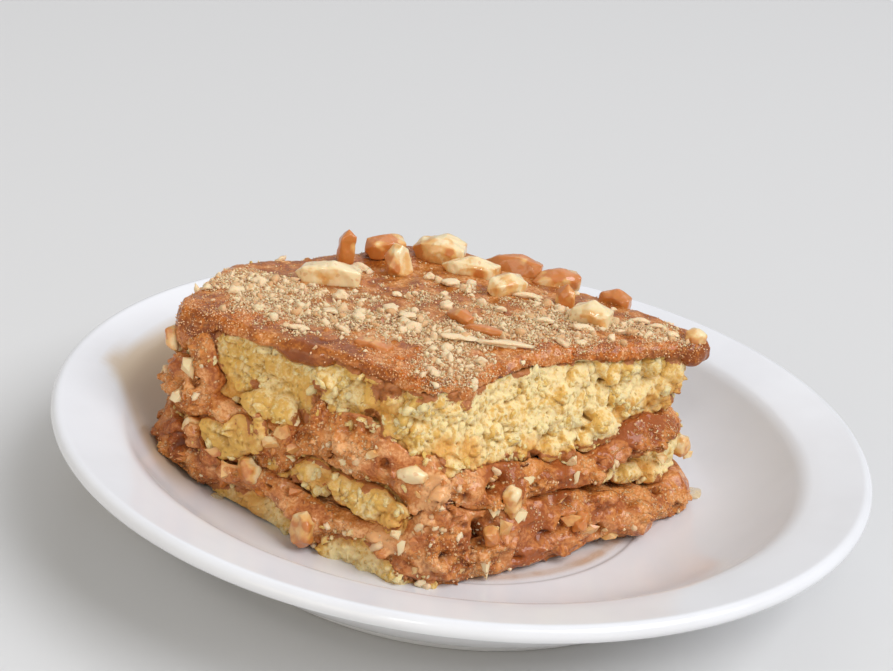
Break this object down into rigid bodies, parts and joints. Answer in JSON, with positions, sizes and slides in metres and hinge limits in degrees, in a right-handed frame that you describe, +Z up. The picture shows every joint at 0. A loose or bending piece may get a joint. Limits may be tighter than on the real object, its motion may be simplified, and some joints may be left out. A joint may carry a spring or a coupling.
{
  "type": "slice of rum-soaked sponge layer cake on a plate",
  "caption": "Square-cut slice of layered sponge and custard cake with a caramel custard top, crumbs and chopped toasted nuts, on a round white dessert plate.",
  "frame": {"origin": "on the surface that the plate stands on, under the plate's middle", "axes": "+Z up; -Y towards the slice's front corner; +X to the right of someone who looks at that corner"},
  "size_m": [0.19, 0.19, 0.0596],
  "materials": {
    "plate_glaze": "smooth white glazed porcelain",
    "sponge": "open moist yellow sponge crumb",
    "custard": "lumpy moist caramel custard",
    "topping": "glossy caramel custard with pale crumbs",
    "nut": "toasted cream nut flesh with brown skin"
  },
  "bodies": {
    "root": {"plate": "plate_glaze", "sponge_bottom": "sponge", "custard_lower": "custard", "sponge_middle": "sponge", "custard_upper": "custard", "sponge_top": "sponge", "topping": "topping", "nut_cream_left": "nut", "nut_upright_left": "nut", "nut_brown_back": "nut", "nut_wedge": "nut", "nut_big_back": "nut", "nut_cream_middle": "nut", "nut_brown_right": "nut", "nut_pale_right": "nut", "nut_curl": "nut", "nut_leg": "nut", "nut_block": "nut", "nut_far_right": "nut", "nut_splinter_upright": "nut", "nut_splinter_flat": "nut", "nut_front_left": "nut", "nut_tip": "nut", "nut_side_left_end": "nut", "nut_side_left_low": "nut", "nut_side_left_middle": "nut", "nut_side_cream": "nut", "nut_side_flake": "nut", "nut_side_front_high": "nut", "nut_side_front_low": "nut", "nut_side_right_low": "nut", "nut_side_right_end": "nut"}
  },
  "joints": []
}
